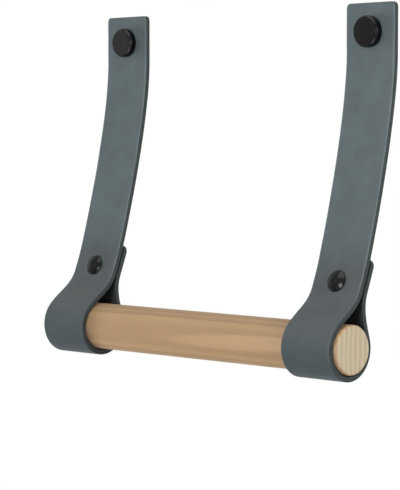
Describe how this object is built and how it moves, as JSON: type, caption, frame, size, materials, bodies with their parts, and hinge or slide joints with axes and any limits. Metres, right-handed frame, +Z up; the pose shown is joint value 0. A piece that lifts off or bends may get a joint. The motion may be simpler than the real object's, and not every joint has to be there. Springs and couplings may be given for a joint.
{
  "type": "toilet roll holder",
  "caption": "Wall-mounted toilet roll holder: a wooden dowel slides endways through the riveted loops of leather straps that hang from round screw-on knobs.",
  "frame": {"origin": "on the wall surface, midway between the two knob axes", "axes": "+X along the dowel to the right as seen from the room, +Y into the wall, +Z up"},
  "size_m": [0.1714, 0.0718, 0.1499],
  "materials": {
    "leather": "smooth blue-grey bridle leather with a fine grain and painted edges",
    "dowel_wood": "bare pale wood, sanded, with straight grain",
    "knob_metal": "satin black",
    "bolt_steel": "zinc-plated steel",
    "plug_plastic": "moulded nylon",
    "rivet_metal": "gunmetal black, slightly glossy"
  },
  "bodies": {
    "straps": {"left_strap": "leather", "right_strap": "leather", "left_hanger_bolt": "bolt_steel", "right_hanger_bolt": "bolt_steel", "left_wall_plug": "plug_plastic", "right_wall_plug": "plug_plastic", "left_rivet_cap": "rivet_metal", "right_rivet_cap": "rivet_metal", "left_rivet_post": "rivet_metal", "right_rivet_post": "rivet_metal"},
    "dowel": {"dowel": "dowel_wood"},
    "left_knob": {"left_knob": "knob_metal"},
    "right_knob": {"right_knob": "knob_metal"}
  },
  "joints": [
    {"name": "dowel_slide", "type": "slide", "parent": "straps", "child": "dowel", "axis": [1, 0, 0], "range_m": [-0.172, 0.172]},
    {"name": "left_knob_turn", "type": "hinge", "parent": "straps", "child": "left_knob", "pos_m": [-0.0715, 0, 0], "axis": [0, -1, 0], "range_deg": [0, 2160]},
    {"name": "right_knob_turn", "type": "hinge", "parent": "straps", "child": "right_knob", "pos_m": [0.0715, 0, 0], "axis": [0, -1, 0], "range_deg": [0, 2160]}
  ]
}
